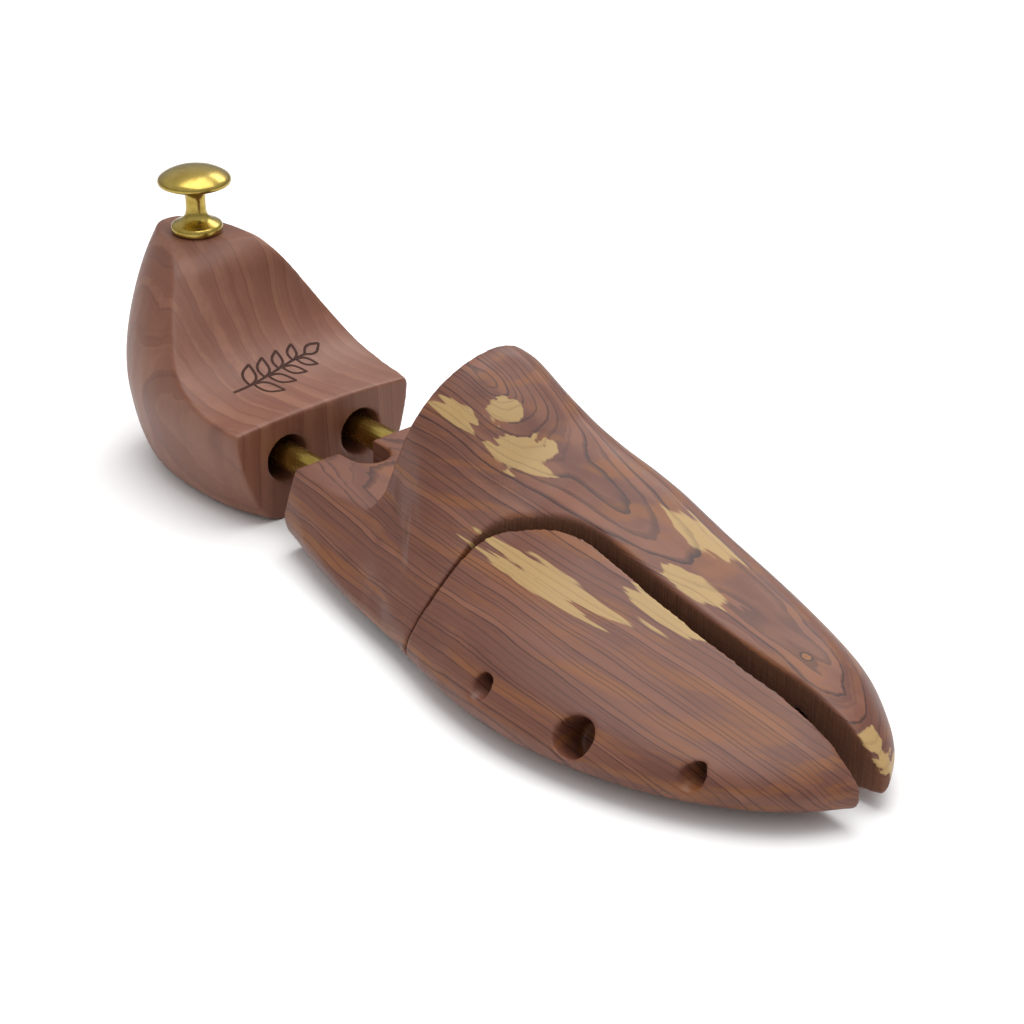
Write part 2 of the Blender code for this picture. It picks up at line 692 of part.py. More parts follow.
def main():
    clear_scene()
    parts = collection("shoe_tree")
    cutters = collection("cutters")
    cedar = material("cedar", (0.40, 0.22, 0.17), 0.55)
    cedar_heel = material("cedar_heel", (0.44, 0.25, 0.20), 0.55)
    brass = material("brass", (0.80, 0.62, 0.25), 0.22, 1.0)
    steel = material("steel", (0.60, 0.60, 0.62), 0.30, 1.0)

    frame = bpy.data.objects.new("tree_frame", None)
    parts.objects.link(frame)
    frame.location.x = -SOLE_ORIGIN_X * MM

    body = make_forepart(parts, cutters)
    body.data.materials.append(cedar)
    wing = make_wing(parts, cutters)
    wing.data.materials.append(cedar)
    heel = make_heel(parts, cutters)
    heel.data.materials.append(cedar_heel)
    knob, stud = make_knob(parts)
    knob.data.materials.append(brass)
    stud.data.materials.append(steel)
    for side, y in zip(("lateral", "medial"), TUBE_Y):
        make_tube(side, y, parts, cutters).data.materials.append(brass)
        inside = [make_rod(side, y, parts, cutters), make_plug(side, y, parts, cutters)]
        inside += [make_length_spring(side, y, parts)] + make_pins(side, y, parts)
        for piece in inside:
            piece.data.materials.append(steel)
    for piece in make_guides(parts, cutters):
        piece.data.materials.append(steel)

    for obj in list(parts.objects) + list(cutters.objects):
        if obj is not frame:
            obj.parent = frame
    # the wing and its cutters hang on the hinge's own empty, which holds them open
    pivot = bpy.data.objects.new("wing_hinge", None)
    parts.objects.link(pivot)
    pivot.parent = frame
    hinge = Vector((*HINGE, 0.0)) * MM
    pivot.location = hinge
    pivot.rotation_euler.z = math.radians(-WING_OPEN_DEG)
    wing_tools = ("wing_keep", "guide_counterbore", "guide_clearance", "wing_pocket", "vent_bore")
    for obj in [wing] + [c for c in cutters.objects if c.name.startswith(wing_tools)]:
        obj.parent = pivot
        obj.matrix_parent_inverse = Matrix.Translation(-hinge)


main()
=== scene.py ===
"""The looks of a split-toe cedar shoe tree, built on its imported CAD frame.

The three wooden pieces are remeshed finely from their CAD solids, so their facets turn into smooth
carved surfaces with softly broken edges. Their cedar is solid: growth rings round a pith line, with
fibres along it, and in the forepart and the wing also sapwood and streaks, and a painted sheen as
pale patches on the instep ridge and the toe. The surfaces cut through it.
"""
import math

import bmesh
import bpy
import numpy as np
from mathutils import Matrix, Vector
from mathutils.bvhtree import BVHTree
from mathutils.kdtree import KDTree


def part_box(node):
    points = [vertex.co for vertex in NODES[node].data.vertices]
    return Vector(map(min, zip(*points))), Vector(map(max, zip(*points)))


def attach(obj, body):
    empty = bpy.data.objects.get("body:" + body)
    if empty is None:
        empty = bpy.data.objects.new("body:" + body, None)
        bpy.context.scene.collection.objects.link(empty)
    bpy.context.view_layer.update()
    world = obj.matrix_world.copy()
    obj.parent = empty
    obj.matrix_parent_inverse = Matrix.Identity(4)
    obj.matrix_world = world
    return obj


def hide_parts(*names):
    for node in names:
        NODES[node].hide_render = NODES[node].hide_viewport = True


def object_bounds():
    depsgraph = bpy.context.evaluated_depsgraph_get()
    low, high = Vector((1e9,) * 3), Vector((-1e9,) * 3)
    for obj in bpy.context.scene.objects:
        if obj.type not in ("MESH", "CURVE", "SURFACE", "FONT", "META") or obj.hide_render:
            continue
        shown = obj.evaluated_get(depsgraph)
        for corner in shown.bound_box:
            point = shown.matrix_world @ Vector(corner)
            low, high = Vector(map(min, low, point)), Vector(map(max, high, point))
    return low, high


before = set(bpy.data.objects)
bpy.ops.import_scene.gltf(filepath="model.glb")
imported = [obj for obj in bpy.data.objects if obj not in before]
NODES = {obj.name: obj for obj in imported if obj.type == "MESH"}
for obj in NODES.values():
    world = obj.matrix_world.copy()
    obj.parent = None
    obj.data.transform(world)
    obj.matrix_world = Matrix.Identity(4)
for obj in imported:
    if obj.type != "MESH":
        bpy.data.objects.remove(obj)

MM = 0.001
cad_low, cad_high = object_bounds()
TAIL_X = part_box("forepart_body")[0].x  # world x of the forepart's rear face
REST_Z = cad_low.z  # what the object stands on
SEAM_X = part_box("toe_wing")[0].x  # where the saw cut meets the lateral flank

VOXEL = 0.5 * MM
WELD = 1e-6
SHARP_DEG = 30.0  # an angle between two faces that makes a real edge
EDGE_SAMPLE = 0.5 * MM
SMOOTH_STEP = 0.6  # how far a vertex moves toward its neighbours' mean in one round
SMOOTH_ROUNDS = 40
SMOOTH_FROM = 0.8 * MM  # distance from a sharp edge where smoothing starts
SMOOTH_FULL = 3.5 * MM  # and where it is full
EDGE_ROUNDS = 8  # rounds that smooth everything alike, which take the steps off the edges and break them

SAWN_UPRIGHT = 0.2  # sawn faces stand upright: the most that their normals tilt
BODY_SAWN_Y = (-24.5 * MM, 1.5 * MM)
BODY_SAWN_FACING = 0.6  # least normal.x - normal.y on the forepart's side
BODY_SAWN_AWAY = 0.75  # most normal.y there
WING_SAWN_Y = -44.0 * MM
WING_SAWN_FACING = 0.85  # least normal.y - normal.x on the wing's side


def at(x, y, z):
    """A place given in millimetres from the forepart's rear face, in the frame's metres."""
    return Vector((TAIL_X + x * MM, y * MM, z * MM))


def srgb(red, green, blue):
    """A display colour of 0 to 255 as a linear RGBA."""
    linear = []
    for value in (red, green, blue):
        v = value / 255.0
        linear.append(v / 12.92 if v <= 0.04045 else ((v + 0.055) / 1.055) ** 2.4)
    return (*linear, 1.0)


# ---------------------------------------------------------------- wooden surfaces


def sharp_edge_tree(bm):
    """A lookup of points along every edge that is really an edge, not a facet's border."""
    points = []
    for edge in bm.edges:
        if len(edge.link_faces) != 2 or edge.calc_face_angle() < math.radians(SHARP_DEG):
            continue
        a, b = edge.verts[0].co, edge.verts[1].co
        steps = max(1, int((b - a).length / EDGE_SAMPLE))
        points += [a.lerp(b, k / steps) for k in range(steps + 1)]
    tree = KDTree(len(points))
    for k, point in enumerate(points):
        tree.insert(point, k)
    tree.balance()
    return tree


def voxel_mesh(name, bm):
    """The solid as an even quad mesh."""
    mesh = bpy.data.meshes.new(name)
    bm.to_mesh(mesh)
    coarse = bpy.data.objects.new(name, mesh)
    bpy.context.scene.collection.objects.link(coarse)
    remesh = coarse.modifiers.new("Remesh", "REMESH")
    remesh.mode = "VOXEL"
    remesh.voxel_size = VOXEL
    remesh.adaptivity = 0.0
    bpy.context.view_layer.update()
    fine = bpy.data.meshes.new_from_object(coarse.evaluated_get(bpy.context.evaluated_depsgraph_get()))
    bpy.data.objects.remove(coarse)
    return fine


def smooth_mesh(mesh, tree):
    """Averages out the facets, and leaves the real edges nearly as they are."""
    count = len(mesh.vertices)
    co = np.empty(count * 3)
    mesh.vertices.foreach_get("co", co)
    co = co.reshape(-1, 3)
    pairs = np.empty(len(mesh.edges) * 2, dtype=np.int32)
    mesh.edges.foreach_get("vertices", pairs)
    a, b = pairs.reshape(-1, 2).T
    distance = np.array([tree.find(point)[2] for point in co])
    ramp = np.clip((distance - SMOOTH_FROM) / (SMOOTH_FULL - SMOOTH_FROM), 0.0, 1.0)
    valence = (np.bincount(a, minlength=count) + np.bincount(b, minlength=count))[:, None]
    for turn in range(SMOOTH_ROUNDS + EDGE_ROUNDS):
        weight = SMOOTH_STEP * ramp[:, None] if turn < SMOOTH_ROUNDS else SMOOTH_STEP
        total = np.empty_like(co)
        for axis in range(3):
            total[:, axis] = np.bincount(a, co[b, axis], count) + np.bincount(b, co[a, axis], count)
        co += weight * (total / valence - co)
    mesh.vertices.foreach_set("co", co.ravel())
    mesh.update()


def carve(node, body, materials, sawn):
    """A fine piece in place of a wooden CAD node. sawn(centre, normal) picks the faces the saw left."""
    bm = bmesh.new()
    bm.from_mesh(NODES[node].data)
    bmesh.ops.remove_doubles(bm, verts=bm.verts, dist=WELD)
    tree = sharp_edge_tree(bm)
    mesh = voxel_mesh(node + "_wood", bm)
    bm.free()
    smooth_mesh(mesh, tree)
    mesh.polygons.foreach_set("use_smooth", [True] * len(mesh.polygons))
    for material in materials:
        mesh.materials.append(material)
    if sawn is not None:
        chosen = [int(sawn(face.center, face.normal)) for face in mesh.polygons]
        mesh.polygons.foreach_set("material_index", chosen)
    piece = bpy.data.objects.new(node + "_wood", mesh)
    bpy.context.scene.collection.objects.link(piece)
    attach(piece, body)
    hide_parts(node)
    return piece


def body_sawn(centre, normal):
    """Whether a face is the forepart's side of the saw cut."""
    inside = centre.x > SEAM_X and BODY_SAWN_Y[0] < centre.y < BODY_SAWN_Y[1]
    facing = normal.y < BODY_SAWN_AWAY and normal.x - normal.y > BODY_SAWN_FACING
    return inside and facing and abs(normal.z) < SAWN_UPRIGHT


def wing_sawn(centre, normal):
    """Whether a face is the wing's side of the saw cut."""
    facing = normal.y - normal.x > WING_SAWN_FACING
    return facing and abs(normal.z) < SAWN_UPRIGHT and centre.y > WING_SAWN_Y


# ---------------------------------------------------------------- shader helpers


class Shader:
    """A node tree that is written like a sum: each call adds a node and gives its output."""

    def __init__(self, name):
        self.material = bpy.data.materials.new(name)
        self.material.use_nodes = True
        self.tree = self.material.node_tree
        self.surface = self.tree.nodes["Principled BSDF"]

    def add(self, kind, inputs, output=0, **settings):
        """A node's output. inputs maps its sockets to values or to other nodes' outputs."""
        made = self.tree.nodes.new(kind)
        for key, value in settings.items():
            setattr(made, key, value)
        for key, value in inputs.items():
            self.feed(made.inputs[key], value)
        return made.outputs[output]

    def feed(self, socket, value):
        if isinstance(value, bpy.types.NodeSocket):
            self.tree.links.new(value, socket)
        else:
            socket.default_value = value

    def math(self, operation, a, b=0.0, c=0.0):
        return self.add("ShaderNodeMath", {0: a, 1: b, 2: c}, operation=operation)

    def vector(self, operation, a, b=(0.0, 0.0, 0.0)):
        output = 1 if operation in ("DOT_PRODUCT", "LENGTH") else 0
        return self.add("ShaderNodeVectorMath", {0: a, 1: b}, output, operation=operation)

    def scaled(self, a, factor):
        return self.add("ShaderNodeVectorMath", {0: a, "Scale": factor}, operation="SCALE")

    def noise(self, vector, scale, detail=2.0, roughness=0.5):
        inputs = {"Vector": vector, "Scale": scale, "Detail": detail, "Roughness": roughness}
        return self.add("ShaderNodeTexNoise", inputs)

    def noise_1d(self, value, scale):
        return self.add("ShaderNodeTexNoise", {"W": value, "Scale": scale}, noise_dimensions="1D")

    def random(self, value):
        """A random number for each whole number."""
        return self.add("ShaderNodeTexWhiteNoise", {"W": value}, noise_dimensions="1D")

    def step(self, value, low, high):
        """0 below low and 1 above high, with a soft step between."""
        inputs = {"Value": value, "From Min": low, "From Max": high}
        return self.add("ShaderNodeMapRange", inputs, interpolation_type="SMOOTHSTEP")

    def less(self, value, low, high):
        """1 below low and 0 above high, with a soft step between."""
        return self.math("SUBTRACT", 1.0, self.step(value, low, high))

    def bump(self, height, strength, distance):
        inputs = {"Strength": strength, "Distance": distance, "Height": height}
        return self.add("ShaderNodeBump", inputs)

    def mix(self, factor, a, b):
        made = self.tree.nodes.new("ShaderNodeMix")
        made.data_type = "RGBA"
        self.feed(made.inputs["Factor"], factor)
        self.feed(made.inputs["A"], a)
        self.feed(made.inputs["B"], b)
        return made.outputs["Result"]

    def place(self):
        """Where a point of the piece is at rest, in millimetres."""
        return self.scaled(self.add("ShaderNodeTexCoord", {}, "Object"), 1.0 / MM)

    def finish(self, **inputs):
        for key, value in inputs.items():
            self.feed(self.surface.inputs[key.replace("_", " ")], value)
        return self.material


# ---------------------------------------------------------------- cedar

CEDAR_LIGHT = srgb(127, 82, 63)
CEDAR_MAUVE = srgb(99, 59, 47)
CEDAR_DARK = srgb(46, 23, 21)
CEDAR_ORANGE = srgb(136, 83, 38)
SAPWOOD_AND_SHEEN = srgb(172, 142, 92)
HEEL_LIGHT = srgb(132, 88, 68)
HEEL_MAUVE = srgb(114, 70, 53)
HEEL_DARK = srgb(88, 50, 40)
SAWN_LIGHT = srgb(120, 77, 50)
SAWN_MEAN = srgb(102, 62, 41)
SAWN_DARK = srgb(88, 51, 34)
SCORCHED = srgb(46, 26, 20)
SCORCHED_LIGHT = srgb(74, 44, 34)

# Where sapwood shows, and in the last two zones also painted sheen: its middle in millimetres from the
# forepart's rear face, its half-lengths and how far it reaches, as a share of them.
SAPWOOD_AND_SHEEN_ZONES = [
    ((61.0, 1.0, 55.5), (9.0, 8.0, 5.0), 1.0),
    ((72.0, -1.5, 48.0), (13.0, 9.5, 6.0), 1.1),
    ((54.0, -8.0, 55.0), (14.0, 5.0, 5.5), 0.9),
    ((101.0, -21.0, 31.0), (32.0, 6.5, 6.5), 1.05),
    ((131.0, -9.0, 30.0), (19.0, 7.0, 6.0), 1.05),
    ((130.0, 2.0, 33.0), (19.0, 5.0, 5.0), 1.05),
    # these two are partly sapwood and partly painted highlight: the pale satin sheen along the instep
    # ridge and at the toe
    ((120.0, 15.0, 38.0), (36.0, 7.0, 8.0), 0.8),
    ((190.0, 2.0, 14.0), (14.0, 8.0, 12.0), 0.8),
]
SAPWOOD_AND_SHEEN_EDGE = (1.40, 1.50)  # where sapwood and painted sheen begin and are complete

PIN_KNOT = (163.5, 5.5, 25.0)  # millimetres from the forepart's rear face
PIN_KNOT_SQUEEZE = (0.75, 1.15, 0.4)

# how the orange streaks are drawn out: a squeeze of the space on each axis
STREAK_SQUEEZE = (0.02, 0.25, 1.0)
STREAK_EDGE = (0.48, 0.66)
STREAK_STRENGTH = 0.52


class Log:
    """The rings and fibres of one piece of timber, round a pith line."""

    def __init__(self, shader, pith, along, ring_mm):
        self.shader = shader
        along = Vector(along).normalized()
        self.place = shader.place()
        offset = shader.vector("SUBTRACT", self.place, tuple(Vector(pith) / MM))
        run = shader.vector("DOT_PRODUCT", offset, tuple(along))
        self.run = shader.scaled(tuple(along), run)
        self.across = shader.vector("SUBTRACT", offset, self.run)
        radius = shader.vector("LENGTH", self.across)
        wander = shader.noise(self.stretched(1.0, 0.35), 0.035, 2.0)
        ripple = shader.noise(self.stretched(1.0, 0.12), 0.30, 3.0)
        radius = shader.math("MULTIPLY_ADD", wander, 9.0, radius)
        radius = shader.math("MULTIPLY_ADD", ripple, 1.1, radius)
        self.years = shader.math("DIVIDE", radius, ring_mm)
        uneven = shader.noise_1d(self.years, 0.23)
        self.years = shader.math("MULTIPLY_ADD", uneven, 3.5, self.years)

    def stretched(self, across, along):
        """The place, shrunk along the fibres so that a noise on it is drawn out that way."""
        shader = self.shader
        return shader.vector("ADD", shader.scaled(self.across, across), shader.scaled(self.run, along))

    def late_wood(self):
        """1 on the thin dark line that closes each year, with years that show less than others."""
        shader = self.shader
        phase = shader.math("FRACT", self.years)
        rise = shader.step(phase, 0.60, 0.93)
        fall = shader.step(phase, 0.95, 1.0)
        line = shader.math("SUBTRACT", rise, fall)
        year = shader.math("FLOOR", self.years)
        strength = shader.math("MULTIPLY_ADD", shader.random(year), 0.75, 0.25)
        return shader.math("MULTIPLY", line, strength)

    def tone(self):
        """A brightness that differs from year to year."""
        year = self.shader.math("FLOOR", self.shader.math("ADD", self.years, 0.35))
        return self.shader.random(year)

    def fibres(self):
        return self.shader.noise(self.stretched(1.0, 0.025), 2.4, 4.0, 0.6)


def sapwood_and_sheen_mask(shader, log):
    """How much of a point is sapwood or painted sheen: patches that end on a ring or fray along the
    fibres.
    """
    frayed = shader.noise(log.stretched(1.0, 0.10), 0.30, 3.0, 0.55)
    ringed = shader.noise_1d(log.years, 0.55)
    broken = shader.math("MULTIPLY_ADD", ringed, 1.3, shader.math("MULTIPLY", frayed, 0.9))
    zone = -1.0
    for middle, half, amount in SAPWOOD_AND_SHEEN_ZONES:
        away = shader.vector("SUBTRACT", log.place, tuple(at(*middle) / MM))
        away = shader.vector("DIVIDE", away, half)
        reach = shader.math("SUBTRACT", amount, shader.vector("LENGTH", away))
        zone = shader.math("MAXIMUM", reach, zone)
    return shader.step(shader.math("ADD", zone, broken), *SAPWOOD_AND_SHEEN_EDGE)


def pin_knot(shader, log, colour):
    """The colour with a small tight knot near the toe: a dark heart in an orange eye with a dark rim."""
    away = shader.vector("SUBTRACT", log.place, tuple(at(*PIN_KNOT) / MM))
    away = shader.vector("MULTIPLY", away, PIN_KNOT_SQUEEZE)
    reach = shader.vector("LENGTH", away)
    reach = shader.math("MULTIPLY_ADD", shader.noise(log.place, 0.9, 2.0), 0.7, reach)
    rim = shader.math("MULTIPLY", shader.less(reach, 1.7, 2.1), 0.85)
    colour = shader.mix(rim, colour, CEDAR_DARK)
    colour = shader.mix(shader.less(reach, 1.35, 1.6), colour, CEDAR_ORANGE)
    return shader.mix(shader.less(reach, 0.75, 1.0), colour, SCORCHED)


def cedar(name, log_from, colours, line_depth, marked):
    """Sanded cedar. log_from(shader) gives the timber, and colours its light, mean and dark wood.

    line_depth is how dark the rings are. marked adds the streaks, the sapwood with painted sheen on the
    ridge and the toe, and the pin knot.
    """
    shader = Shader(name)
    log = log_from(shader)
    light, mauve, dark = colours
    colour = shader.mix(log.tone(), mauve, light)
    broad = shader.noise(log.stretched(1.0, 0.10), 0.10, 3.0, 0.6)
    colour = shader.mix(shader.step(broad, 0.40, 0.70), colour, mauve)
    line = log.late_wood()
    if marked:
        drawn = shader.vector("MULTIPLY", log.place, STREAK_SQUEEZE)
        band = shader.step(shader.noise(drawn, 0.34, 3.0, 0.5), *STREAK_EDGE)
        band = shader.math("MULTIPLY", band, STREAK_STRENGTH)
        colour = shader.mix(band, colour, CEDAR_ORANGE)
        sap_and_sheen = sapwood_and_sheen_mask(shader, log)
        # pale sapwood, and on the ridge and the toe also a painted sheen
        colour = shader.mix(shader.math("MULTIPLY", sap_and_sheen, 0.9), colour, SAPWOOD_AND_SHEEN)
        line = shader.math("MULTIPLY", line, shader.math("MULTIPLY_ADD", sap_and_sheen, -0.65, 1.0))
    colour = shader.mix(shader.math("MULTIPLY", line, line_depth), colour, dark)
    if marked:
        colour = pin_knot(shader, log, colour)
    fibres = log.fibres()
    pores = shader.step(fibres, 0.60, 0.78)
    colour = shader.mix(shader.math("MULTIPLY", pores, 0.30), colour, dark)
    pale = shader.less(fibres, 0.25, 0.42)
    colour = shader.mix(shader.math("MULTIPLY", pale, 0.18), colour, light)
    rough = shader.math("MULTIPLY_ADD", fibres, 0.16, 0.36)
    rough = shader.math("MULTIPLY_ADD", line, -0.06, rough)
    height = shader.math("MULTIPLY_ADD", line, -0.6, fibres)
    bump = shader.bump(height, 0.25, 0.12 * MM)
    return shader.finish(Base_Color=colour, Roughness=rough, Normal=bump, Specular_IOR_Level=0.36)


def sawn_cedar(name, log_from):
    """Cedar as the saw left it: dull, and combed up and down by the blade's teeth."""
    shader = Shader(name)
    log = log_from(shader)
    combed = shader.vector("MULTIPLY", log.place, (1.0, 1.0, 0.03))
    teeth = shader.noise(combed, 2.6, 3.0, 0.65)
    sweep = shader.noise(combed, 0.25, 2.0, 0.5)
    colour = shader.mix(shader.step(teeth, 0.30, 0.70), SAWN_DARK, SAWN_LIGHT)
    colour = shader.mix(shader.math("MULTIPLY", sweep, 0.6), colour, SAWN_MEAN)
    colour = shader.mix(shader.math("MULTIPLY", log.late_wood(), 0.35), colour, CEDAR_DARK)
    return shader.finish(Base_Color=colour, Roughness=0.8, Normal=shader.bump(teeth, 0.6, 0.3 * MM))


def forepart_log(shader):
    """The forepart's and the wing's timber: the pith leaves the wood on the instep's slope."""
    return Log(shader, at(56.0, 2.0, 61.0), (1.0, 0.03, -0.14), 1.55)


def heel_log(shader):
    """The heel's timber stands on end, with its rings facing the flanks."""
    return Log(shader, at(-62.0, 96.0, 0.0), (0.10, 0.06, 1.0), 1.9)


# ---------------------------------------------------------------- metal

BRASS = srgb(172, 150, 78)
BRASS_DEEP = srgb(154, 130, 60)
STEEL = srgb(188, 188, 192)
STEEL_DEEP = srgb(168, 168, 172)
TURNED_SHARP_DEG = 38.0  # creases kept on the small CAD pieces
KNOB_SHARP_DEG = 50.0
KNOB_SIDES = 96

# (radius, height) of the turned knob above the heel's top, in millimetres, from the crown down
KNOB_CROWN = [
    (0.0, 19.35), (1.5, 19.3), (3.0, 19.15), (4.5, 18.9), (6.0, 18.5), (7.4, 18.0), (8.6, 17.4),
    (9.6, 16.8), (10.2, 16.3), (10.55, 15.7), (10.6, 15.2), (10.4, 14.7), (9.8, 14.4), (8.4, 14.05),
    (7.0, 13.7), (5.7, 13.3), (4.6, 12.9),
]
KNOB_NECK = [
    (3.8, 12.3), (3.3, 11.6), (3.0, 10.8), (2.9, 9.6), (2.88, 8.0), (2.95, 6.4), (3.2, 5.2), (3.7, 4.3),
]
KNOB_FLANGE = [
    (4.7, 3.5), (5.7, 3.0), (6.7, 2.55), (7.3, 2.1), (7.5, 1.5), (7.5, 0.7), (7.3, 0.15), (6.9, 0.1),
    (0.0, 0.1),
]


def metal(name, colour, tint, roughness, marks):
    """Polished metal with faint handling marks, tinted and dulled where they are."""
    shader = Shader(name)
    place = shader.place()
    smudge = shader.noise(place, 0.35, 4.0, 0.6)
    scratch = shader.noise(shader.vector("MULTIPLY", place, (0.12, 1.0, 1.0)), 5.0, 3.0, 0.6)
    base = shader.mix(shader.step(smudge, 0.35, 0.75), colour, tint)
    rough = shader.math("MULTIPLY_ADD", shader.step(smudge, 0.45, 0.75), marks, roughness)
    rough = shader.math("MULTIPLY_ADD", scratch, marks * 0.5, rough)
    bump = shader.bump(scratch, 0.02, 0.02 * MM)
    return shader.finish(Base_Color=base, Metallic=1.0, Roughness=rough, Normal=bump)


def dress_metal(brass, steel):
    """Brass on the tubes, and steel on the other CAD nodes that aren't wood."""
    for name, node in NODES.items():
        if name in ("forepart_body", "toe_wing", "heel_block"):
            continue
        is_brass = name == "pull_knob" or name.startswith("outer_tube")
        node.data.materials.clear()
        node.data.materials.append(brass if is_brass else steel)
        node.data.shade_smooth()
        node.data.set_sharp_from_angle(angle=math.radians(TURNED_SHARP_DEG))


def turn_knob(brass):
    """The pull knob as it comes off the lathe."""
    low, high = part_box("pull_knob")
    bm = bmesh.new()
    turns = [math.tau * k / KNOB_SIDES for k in range(KNOB_SIDES)]
    rings = []
    for radius, height in KNOB_CROWN + KNOB_NECK + KNOB_FLANGE:
        r, z = radius * MM, height * MM
        if radius == 0.0:
            rings.append([bm.verts.new((0.0, 0.0, z))] * KNOB_SIDES)
        else:
            rings.append([bm.verts.new((r * math.cos(t), r * math.sin(t), z)) for t in turns])
    for above, below in zip(rings, rings[1:]):
        for k in range(KNOB_SIDES):
            after = (k + 1) % KNOB_SIDES
            corners = (above[k], below[k], below[after], above[after])
            bm.faces.new(list(dict.fromkeys(corners)))  # a point on the axis counts once
    mesh = bpy.data.meshes.new("knob_turned")
    bm.to_mesh(mesh)
    bm.free()
    mesh.materials.append(brass)
    mesh.shade_smooth()
    mesh.set_sharp_from_angle(angle=math.radians(KNOB_SHARP_DEG))
    knob = bpy.data.objects.new("knob_turned", mesh)
    knob.location = ((low.x + high.x) / 2, (low.y + high.y) / 2, low.z)
    bpy.context.scene.collection.objects.link(knob)
    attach(knob, "heel")
    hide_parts("pull_knob")


# ---------------------------------------------------------------- burned mark

MARK_CENTRE = (-36.0, 1.0, 35.0)  # millimetres from the forepart's rear face
MARK_SIDE = Vector((0.0, 1.0, 0.0))  # across the heel
MARK_SLOPE = Vector((-0.70, 0.0, 0.71))  # up the heel's scoop
MARK_START = 30.0 * MM  # how far off the wood each point is let down from
MARK_LINE = 0.42 * MM  # half the line's width
MARK_RISE = 0.05 * MM
MARK_SINK = 0.30 * MM

# the sprig in millimetres: a stem from STEM_FROM to STEM_TO that waves, and pairs of leaves along it
STEM_FROM = -17.0
STEM_TO = 12.0
STEM_POINTS = 40
STEM_WAVE = 2.4
STEM_WAVE_LENGTH = 11.0
LEAF_FEET = (-11.0, -5.0, 1.0, 7.0)
LEAF_LENGTH = 8.2
LEAF_SHORTER = 0.7  # from each pair to the next
LEAF_SPREAD = 0.85  # radians off the stem
LEAF_STAGGER = 1.2
END_LEAF_LENGTH = 7.0
END_LEAF_TURN = 0.30
LEAF_STEPS = 12
LEAF_WIDTH = 0.24  # half its width, as a share of its length


def leaf(u, v, angle, length):
    """A pointed leaf as a closed line of (u, v), with its foot at (u, v)."""
    points = []
    out = list(range(LEAF_STEPS + 1))
    for side, steps in ((1.0, out), (-1.0, out[::-1])):
        for k in steps:
            t = k / LEAF_STEPS
            along = length * t
            across = side * LEAF_WIDTH * length * math.sin(math.pi * t) * (1.15 - 0.4 * t)
            x = along * math.cos(angle) - across * math.sin(angle)
            y = along * math.sin(angle) + across * math.cos(angle)
            points.append((u + x, v + y))
    return points


def stem_at(u):
    """The stem's v at u."""
    return STEM_WAVE * math.sin(u / STEM_WAVE_LENGTH)


def sprig():
    """A generic sprig of leaves as lines of (u, v) in millimetres: u across the heel, v up its slope."""
    stem = [(u, stem_at(u)) for u in np.linspace(STEM_FROM, STEM_TO, STEM_POINTS)]
    lines = [stem, leaf(STEM_TO, stem_at(STEM_TO), END_LEAF_TURN, END_LEAF_LENGTH)]
    for k, u in enumerate(LEAF_FEET):
        lean = 0.218 * math.cos(u / STEM_WAVE_LENGTH)
        length = LEAF_LENGTH - LEAF_SHORTER * k
        lines.append(leaf(u, stem_at(u), lean + LEAF_SPREAD, length))
        lines.append(leaf(u + LEAF_STAGGER, stem_at(u), lean - LEAF_SPREAD, length))
    return lines


def burn_mark(heel):
    """The sprig as a scorched line let into the heel's scoop."""
    out = MARK_SIDE.cross(MARK_SLOPE).normalized()  # off the scoop
    tree = BVHTree.FromObject(heel, bpy.context.evaluated_depsgraph_get())
    bm = bmesh.new()
    for line in sprig():
        rows = []
        for k, (u, v) in enumerate(line):
            before, after = line[max(k - 1, 0)], line[min(k + 1, len(line) - 1)]
            run = MARK_SIDE * (after[0] - before[0]) + MARK_SLOPE * (after[1] - before[1])
            start = at(*MARK_CENTRE) + (MARK_SIDE * u + MARK_SLOPE * v) * MM + out * MARK_START
            hit, normal, _, _ = tree.ray_cast(start, -out)
            across = normal.cross(run).normalized() * MARK_LINE
            top, bottom = hit + normal * MARK_RISE, hit - normal * MARK_SINK
            corners = (top - across, top + across, bottom + across, bottom - across)
            rows.append([bm.verts.new(corner) for corner in corners])
        for back, front in zip(rows, rows[1:]):
            for k in range(4):
                bm.faces.new((back[k], front[k], front[k - 3], back[k - 3]))
        bm.faces.new(rows[0])
        bm.faces.new(reversed(rows[-1]))
    bmesh.ops.recalc_face_normals(bm, faces=bm.faces)
    mesh = bpy.data.meshes.new("burned_sprig")
    bm.to_mesh(mesh)
    bm.free()
    shader = Shader("scorched_cedar")
    fleck = shader.noise(shader.place(), 2.2, 3.0, 0.6)
    colour = shader.mix(shader.step(fleck, 0.35, 0.7), SCORCHED, SCORCHED_LIGHT)
    mesh.materials.append(shader.finish(Base_Color=colour, Roughness=0.75, Specular_IOR_Level=0.2))
    mark = bpy.data.objects.new("burned_sprig", mesh)
    bpy.context.scene.collection.objects.link(mark)
    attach(mark, "heel")


# ---------------------------------------------------------------- stage

CAMERA_AZIMUTH = math.radians(48.151)
CAMERA_ELEVATION = math.radians(27.42)
CAMERA_DISTANCE = 816.2 * MM
CAMERA_TARGET = at(-24.2, 80.1, -33.5)
LENS = 92.12
SENSOR = 36.0
FLOOR_SIZE = 6.0  # half its side, in metres
FLOOR_WHITE = (0.94, 0.94, 0.94, 1.0)

# the tent of light round the set: grey at the horizon, white from TENT_WHITE_FROM up
TENT_GREY = (0.38, 0.38, 0.38, 1.0)
TENT_WHITE = (1.0, 1.0, 1.0, 1.0)
TENT_WHITE_FROM = 0.55
TENT_STRENGTH = 0.80

# name, place, aim, size and power of each area light, in metres and watts
LIGHTS = [
    ("top_box", (0.0, 0.12, 1.1), (0.0, 0.0, 0.0), (1.1, 0.9), 9.0),
    ("back_box", (-0.36, 0.80, 0.74), (0.02, 0.0, 0.04), (0.5, 0.3), 2.5),
]


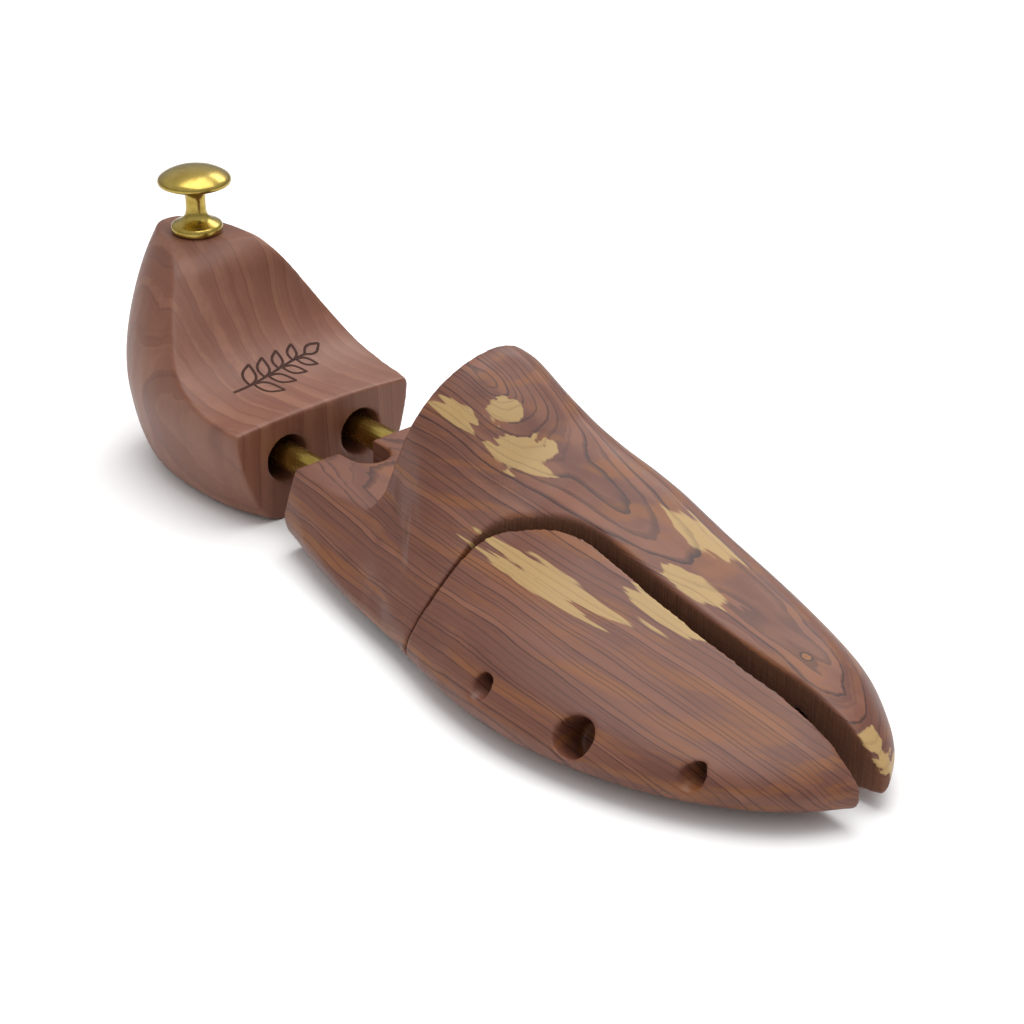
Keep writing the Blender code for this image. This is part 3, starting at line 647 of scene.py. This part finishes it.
def make_camera():
    a, e = CAMERA_AZIMUTH, CAMERA_ELEVATION
    back = Vector((math.sin(a) * math.cos(e), -math.cos(a) * math.cos(e), math.sin(e)))
    right = Vector((math.cos(a), math.sin(a), 0.0))
    up = back.cross(right)
    turn = Matrix((right, up, back)).transposed().to_4x4()
    lens = bpy.data.cameras.new("camera")
    lens.lens = LENS
    lens.sensor_width = SENSOR
    camera = bpy.data.objects.new("camera", lens)
    camera.matrix_world = Matrix.Translation(CAMERA_TARGET + back * CAMERA_DISTANCE) @ turn
    bpy.context.scene.collection.objects.link(camera)
    bpy.context.scene.camera = camera


def make_floor():
    bm = bmesh.new()
    bmesh.ops.create_grid(bm, x_segments=1, y_segments=1, size=FLOOR_SIZE)
    mesh = bpy.data.meshes.new("floor")
    bm.to_mesh(mesh)
    bm.free()
    floor = bpy.data.objects.new("floor", mesh)
    floor.location.z = REST_Z
    bpy.context.scene.collection.objects.link(floor)
    shader = Shader("floor")
    mesh.materials.append(shader.finish(Base_Color=FLOOR_WHITE, Roughness=0.9, Specular_IOR_Level=0.1))


def make_light(name, place, aim, size, power):
    light = bpy.data.lights.new(name, "AREA")
    light.shape = "RECTANGLE"
    light.size, light.size_y = size
    light.energy = power
    made = bpy.data.objects.new(name, light)
    made.location = place
    made.rotation_euler = (Vector(aim) - Vector(place)).to_track_quat("-Z", "Y").to_euler()
    bpy.context.scene.collection.objects.link(made)


def make_tent():
    world = bpy.data.worlds.new("tent")
    bpy.context.scene.world = world
    world.use_nodes = True
    tree = world.node_tree
    background = tree.nodes["Background"]
    place = tree.nodes.new("ShaderNodeTexCoord")
    split = tree.nodes.new("ShaderNodeSeparateXYZ")
    ramp = tree.nodes.new("ShaderNodeValToRGB")
    horizon, above = ramp.color_ramp.elements
    horizon.color = TENT_GREY
    above.position = TENT_WHITE_FROM
    above.color = TENT_WHITE
    tree.links.new(place.outputs["Generated"], split.inputs[0])
    tree.links.new(split.outputs["Z"], ramp.inputs[0])
    tree.links.new(ramp.outputs[0], background.inputs["Color"])
    background.inputs["Strength"].default_value = TENT_STRENGTH


def main():
    cedar_colours = (CEDAR_LIGHT, CEDAR_MAUVE, CEDAR_DARK)
    heel_colours = (HEEL_LIGHT, HEEL_MAUVE, HEEL_DARK)
    forepart_wood = cedar("cedar_forepart", forepart_log, cedar_colours, 0.95, True)
    heel_wood = cedar("cedar_heel", heel_log, heel_colours, 0.45, False)
    gap_wood = sawn_cedar("cedar_sawn", forepart_log)
    carve("forepart_body", "forepart", [forepart_wood, gap_wood], body_sawn)
    carve("toe_wing", "wing", [forepart_wood, gap_wood], wing_sawn)
    heel = carve("heel_block", "heel", [heel_wood], None)
    burn_mark(heel)
    brass = metal("brass", BRASS, BRASS_DEEP, 0.22, 0.08)
    steel = metal("steel", STEEL, STEEL_DEEP, 0.24, 0.12)
    dress_metal(brass, steel)
    turn_knob(brass)
    make_camera()
    make_floor()
    make_tent()
    for light in LIGHTS:
        make_light(*light)
    bpy.context.scene.view_settings.view_transform = "Standard"


main()
